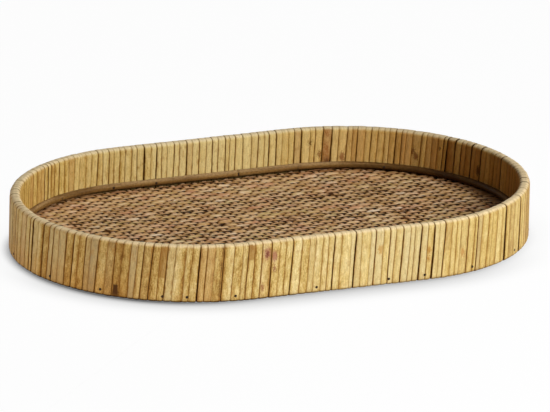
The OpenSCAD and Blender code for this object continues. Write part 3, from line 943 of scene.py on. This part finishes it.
# A weaver is as long as the mat this far nearer its middle, and is then cut to the outline
WEAVER_CUT = 2.9
END_MARGIN = 0.3
# How steeply a weaver goes down to a stake, and how much longer it stays over one than under one
WEAVE_STEEP = 2.4
OVER_BIAS = 0.45
# Past the last stake a weaver comes up again, from this distance and over this length
LOOSE_END = 3.0
LOOSE_LENGTH = 4.0
# How far the painted shade of the slit beside a stake leans along the tray, across a weaver
SLIT_SLANT = 0.45
STAKE_RISE = 0.35
STAKE_HALF_W = 2.2
STAKE_HALF_T = 0.38
REED_SIDES = 12
REED_SECTION = tuple(
    (math.cos(2 * math.pi * (i + 0.5) / REED_SIDES), math.sin(2 * math.pi * (i + 0.5) / REED_SIDES))
    for i in range(REED_SIDES)
)
# Rings of a weaver from stake to stake, and of a stake from weaver to weaver
WEAVER_RINGS = 8
STAKE_RINGS = 4
# Sideways waves of the reeds
REED_WAVE = 0.25
# Small holes in the weave, where two weavers are pushed apart and a painted shade darkens them: plan place
# and how open it is
WEAVE_HOLES = (
    (-43.0, 21.5, 1.0), (107.5, 82.0, 0.8), (-166.5, 40.0, 0.8), (-108.0, -10.0, 0.5),
    (144.5, -24.0, 0.6), (-82.0, -11.0, 0.5), (32.0, 16.5, 0.5), (220.5, -23.0, 0.6),
)
HOLE_SIZE = 4.5
HOLE_PUSH = 1.2
HOLE_SHADE = 2.2
stake_pitch = (stake_hi[0] - stake_lo[0] - CAD_STAKE_WIDTH) / (STAKES - 1)
mat_r = stake_hi[1]
mat_z = (stake_lo[2] + stake_hi[2]) / 2 + MAT_RAISE
# Places of the stakes, with one more past each end
stake_x = (np.arange(-1, STAKES + 1) - (STAKES - 1) / 2) * stake_pitch


def reach_along(y):
    """Half length of the mat at a distance y from its middle."""
    return half_side + math.sqrt(max(mat_r ** 2 - y ** 2, 0.0))


def at_stakes(x, size):
    """A value that wanders from stake to stake."""
    return np.interp(x, stake_x, rng.normal(0, size, len(stake_x)))


def weave(x, sign, bias):
    """Height of a weaver at x, from -1 under a stake to 1 over one. The sign says which stakes are which."""
    return np.tanh(WEAVE_STEEP * (sign * np.cos(np.pi * x / stake_pitch) + bias))


def weaver_mesh(parity):
    """The weavers of one parity, each a flat reed that runs long over a stake and short under the next."""
    points, faces = [], []
    values = {"across": [], "along": [], "pick": [], "lift": [], "worn": [], "wall": []}
    across = np.array(REED_SECTION)[:, 0]
    for j in range(0 if parity == "even" else 1, WEAVERS, 2):
        row = j - (WEAVERS - 1) // 2
        y0 = row * WEAVER_PITCH
        reach = reach_along(max(abs(y0) - WEAVER_CUT, 0.0)) - END_MARGIN
        count = int(2 * reach / stake_pitch * WEAVER_RINGS) + 2
        x = np.linspace(-reach, reach, count)
        sign = 1 if (row + STAKES // 2) % 2 == 0 else -1
        loose = np.clip((np.abs(x) - stake_x[-2] - LOOSE_END) / LOOSE_LENGTH, 0, 1)
        bias = OVER_BIAS + at_stakes(x, 0.14) + loose
        lift = weave(x, sign, bias)
        width = WEAVER_HALF_W + at_stakes(x, 0.16)
        thick = WEAVER_HALF_T + rng.normal(0, 0.03)
        z = mat_z + WEAVER_RISE * lift + at_stakes(x, 0.09)
        y = y0 + REED_WAVE * np.sin(x / rng.uniform(25, 50) + rng.uniform(0, 6)) + at_stakes(x, 0.22)
        hole_shade_depth = np.zeros(count)
        for hole_x, hole_y, wide in WEAVE_HOLES:
            away = y0 - hole_y
            near = wide * np.exp(-((x - hole_x) / HOLE_SIZE) ** 2) * math.exp(-((away / HOLE_SIZE) ** 2))
            y = y + np.sign(away) * HOLE_PUSH * near
            hole_shade_depth = hole_shade_depth + HOLE_SHADE * near
        roll = rng.normal(0, 0.08) + at_stakes(x, 0.1)
        faces += tube_faces(len(points), count, REED_SIDES)
        for i in range(count):
            for c, s in REED_SECTION:
                flat = width[i] * c
                tall = thick * s
                end = reach_along(abs(y[i] + flat)) - END_MARGIN
                cut_x = min(max(x[i], -end), end)
                points.append((cut_x, y[i] + flat - roll[i] * tall, z[i] + tall + roll[i] * flat))
        # Lift as the painted shade of the slits sees it: slanted across the weaver and lowered at the holes
        skew = x[:, None] - SLIT_SLANT * width[:, None] * across
        seen = weave(skew, sign, bias[:, None]) - hole_shade_depth[:, None]
        wall = mat_r - np.hypot(np.maximum(np.abs(x) - half_side, 0), y)
        pick = np.full(count, rng.uniform())
        worn = at_stakes(x, 0.06) + rng.normal(0, 0.04)
        values["across"] += across.tolist() * count
        values["lift"] += seen.ravel().tolist()
        for key, column in (("along", x), ("pick", pick), ("worn", worn), ("wall", wall)):
            values[key] += np.repeat(column, REED_SIDES).tolist()
    piece = make_mesh("reed_weavers_" + parity, points, faces, values)
    stand_for(piece, reed, "mat_weaver_reed", "mat_weavers_" + parity)


def stake_mesh():
    """The flat stakes across the tray, which rise a little between the weavers that go over them."""
    points, faces = [], []
    values = {"pick": [], "lift": []}
    for k, x0 in enumerate(stake_x[1:-1]):
        inside = max(abs(x0) + STAKE_HALF_W - half_side, 0.0)
        reach = math.sqrt(mat_r ** 2 - inside ** 2) - END_MARGIN
        count = int(2 * reach / WEAVER_PITCH * STAKE_RINGS) + 2
        faces += tube_faces(len(points), count, REED_SIDES)
        bend = rng.uniform(0, 6)
        half = STAKE_HALF_W * (1 + rng.normal(0, 0.08))
        for y in np.linspace(-reach, reach, count):
            x = x0 + REED_WAVE * math.sin(y / 40 + bend) + rng.normal(0, 0.1)
            lift = -math.cos(math.pi * y / WEAVER_PITCH) * (1 if k % 2 == 0 else -1)
            for c, s in REED_SECTION:
                points.append((x + half * c, y, mat_z + STAKE_RISE * lift + STAKE_HALF_T * s))
            values["lift"] += [lift] * REED_SIDES
        values["pick"] += [float(rng.uniform())] * (count * REED_SIDES)
    piece = make_mesh("reed_stakes", points, faces, values)
    stand_for(piece, stake_reed, "mat_stake_reed", "mat_stakes")


weaver_mesh("odd")
weaver_mesh("even")
stake_mesh()


# Trim cane

# The butt joint, at the back to the right of its middle
TRIM_JOINT = rim_l / 2 - 38.25
TRIM_GAP = 0.4
TRIM_RINGS = 420
TRIM_SIDES = 14
# Below 1, the half round is fuller than a circle
TRIM_FULLNESS = 0.8
# Tone of the cane round the rim: place along it, and how much paler it is there
TRIM_TONES = (
    (0, 0.0), (330, -0.2), (480, -0.2), (560, -0.14), (630, 0.13), (760, 0.12),
    (900, 0.02), (1100, 0.02), (1500, 0.0),
)


def trim_mesh():
    """The half-round cane nailed round the inner face, butted together at the back."""
    z0 = (trim_lo[2] + trim_hi[2]) / 2
    half_h = (trim_hi[2] - trim_lo[2]) / 2
    run = np.linspace(TRIM_JOINT + TRIM_GAP / 2, TRIM_JOINT + rim_l - TRIM_GAP / 2, TRIM_RINGS)
    swell = 0.12 * np.sin(run / 47.0) + 0.1 * np.sin(run / 19.0 + 2.0)
    points, around, along = [], [], []
    for s, fat in zip(run, swell):
        for degrees in np.linspace(-90, 90, TRIM_SIDES):
            a = math.radians(degrees)
            q = trim_back_q + (TRIM_THICK + fat) * math.cos(a) ** TRIM_FULLNESS
            x, y = on_rim(s, q)
            points.append((float(x), float(y), z0 + half_h * math.sin(a)))
            around.append(degrees / 90)
            along.append(s)
    faces = tube_faces(0, TRIM_RINGS, TRIM_SIDES)
    paler = read_knots(np.mod(along, rim_l), TRIM_TONES)
    piece = make_mesh("cane_trim", points, faces, {"around": around, "along": along, "tone": paler})
    stand_for(piece, cane, "trim_cane", "trim_cane")


trim_mesh()


# Solids that stay as the frame has them

def dress(node, material):
    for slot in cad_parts[node].material_slots:
        slot.material = material


dress("hoop_outer_ply", hoop_wood)
dress("hoop_inner_ply", hoop_wood)
dress("base_panel", panel_wood)


# Floor, light and camera

FLOOR_HALF = 60000.0
FLOOR_Z = -0.4
FLOOR_WHITE = 0.96
FLOOR_GLOW = 0.97
# Shadows on the paper: reach, depth, the way they fall, and the places that way between which they deepen
WIDE_SHADOW = (0.055, 0.48, (-0.25, -0.97), 40.0, 180.0)
TIGHT_SHADOW = (0.014, 0.7, (-1.0, -0.25), 120.0, 260.0)
# Share of a shadow's depth that is left on the side away from it
SHADOW_LEFT = 0.15
WORLD_FILL = 0.03


def seen_directly(net):
    """One on camera, glossy and transmission rays, and nothing on the rays that light the tray."""
    path = net.add("LightPath")
    both = net.math("MAXIMUM", path.outputs["Is Camera Ray"], path.outputs["Is Glossy Ray"])
    return net.math("MAXIMUM", both, path.outputs["Is Transmission Ray"])


def blend_into(net, factor, first, second, out_kind):
    """Mixes two shaders into the output."""
    blend = net.add("MixShader", factor, first.outputs[0], second.outputs[0])
    net.add(out_kind, Surface=blend.outputs[0])


def floor_material():
    """White paper: lit paper mixed with plain white where it is looked at, so the shadow is soft."""
    net = material_net("floor_paper")
    paper = net.add("BsdfDiffuse", Color=(FLOOR_WHITE, FLOOR_WHITE, FLOOR_WHITE, 1))
    x, y, _ = net.split(net.place())

    def shadow(reach, depth, way, start, end):
        """Share of light left near the tray, most of it lost on the side that way points to."""
        near = net.add("AmbientOcclusion", samples=16, Distance=reach)
        hidden = net.span(near.outputs["AO"], 0.98, 0.3)
        lee = net.plus(net.times(x, way[0]), net.times(y, way[1]))
        lost = net.times(hidden, net.span(lee, start, end, SHADOW_LEFT * depth, depth))
        return net.math("SUBTRACT", 1.0, lost)

    glow = net.add("Emission", Strength=net.times(shadow(*WIDE_SHADOW), shadow(*TIGHT_SHADOW)))
    blend_into(net, net.times(seen_directly(net), FLOOR_GLOW), paper, glow, "OutputMaterial")
    return net.owner


def make_floor():
    corners = [(-1, -1), (1, -1), (1, 1), (-1, 1)]
    points = [(x * FLOOR_HALF, y * FLOOR_HALF, FLOOR_Z) for x, y in corners]
    floor = make_mesh("floor", points, [(0, 1, 2, 3)], smooth=False)
    floor.data.materials.append(floor_material())


def make_world():
    """Plain white where it is looked at, and a weak fill of light on the tray."""
    world = bpy.data.worlds.new("studio")
    bpy.context.scene.world = world
    net = Net(world)
    fill = net.add("Background", Color=(1, 1, 1, 1), Strength=WORLD_FILL)
    white = net.add("Background", Color=(1, 1, 1, 1))
    blend_into(net, seen_directly(net), fill, white, "OutputWorld")


# Soft lights: direction in degrees, distance, width and height, watts and colour
KEY_LIGHT = (36.0, 32.0, 1.7, (0.7, 0.7), 25.0, (1.0, 1.0, 1.0))
LOW_FILL = (-62.0, 1.0, 1.6, (0.9, 0.05), 8.6, (1.0, 0.82, 0.66))
OVERHEAD = {"energy": 18.0, "spot_size": math.radians(28.5), "spot_blend": 0.6, "shadow_soft_size": 0.15}
OVERHEAD_PLACE = (-0.11, 0.0, 1.4)
CAM_AZIMUTH = -24.47
CAM_ELEVATION = 17.13
CAM_ROLL = 1.28
CAM_DISTANCE = 15.052
CAM_SENSOR = 36.0
CAM_LENS = 943.4
CAM_CLIP = 200.0
CAM_ASIDE = 0.00595
CAM_ABOVE = 0.0369


def way_from(azimuth, elevation):
    """Direction from the tray. Azimuth turns from the front to the right."""
    a = math.radians(azimuth)
    e = math.radians(elevation)
    return Vector((math.sin(a) * math.cos(e), -math.cos(a) * math.cos(e), math.sin(e)))


def make_light(name, azimuth, elevation, distance, size, power, colour):
    """A soft light aimed at the tray."""
    way = way_from(azimuth, elevation)
    data = bpy.data.lights.new(name, "AREA")
    data.shape = "RECTANGLE"
    data.size, data.size_y = size
    data.energy = power
    data.color = colour
    lamp = add_object(name, data)
    lamp.location = way * distance
    lamp.rotation_euler = way.to_track_quat("Z", "Y").to_euler()
    lamp.visible_camera = False


def make_overhead():
    """A weak soft spot from above, on the left and the middle of the tray."""
    data = bpy.data.lights.new("overhead", "SPOT")
    for key, value in OVERHEAD.items():
        setattr(data, key, value)
    add_object("overhead", data).location = OVERHEAD_PLACE


def make_camera():
    """The photograph's camera, turned by its roll and shifted aside and up."""
    back = way_from(CAM_AZIMUTH, CAM_ELEVATION)
    level = (-back).cross(Vector((0, 0, 1))).normalized()
    upright = level.cross(-back)
    roll = math.radians(CAM_ROLL)
    right = math.cos(roll) * level + math.sin(roll) * upright
    up = -math.sin(roll) * level + math.cos(roll) * upright
    data = bpy.data.cameras.new("camera")
    data.sensor_width = CAM_SENSOR
    data.lens = CAM_LENS
    data.clip_end = CAM_CLIP
    camera = add_object("camera", data)
    turn = Matrix((right, up, back)).transposed().to_4x4()
    spot = back * CAM_DISTANCE + right * CAM_ASIDE + up * CAM_ABOVE
    camera.matrix_world = Matrix.Translation(spot) @ turn
    bpy.context.scene.camera = camera


make_floor()
make_world()
make_light("key", *KEY_LIGHT)
make_overhead()
make_light("low_fill", *LOW_FILL)
make_camera()
bpy.context.scene.view_settings.view_transform = "Standard"
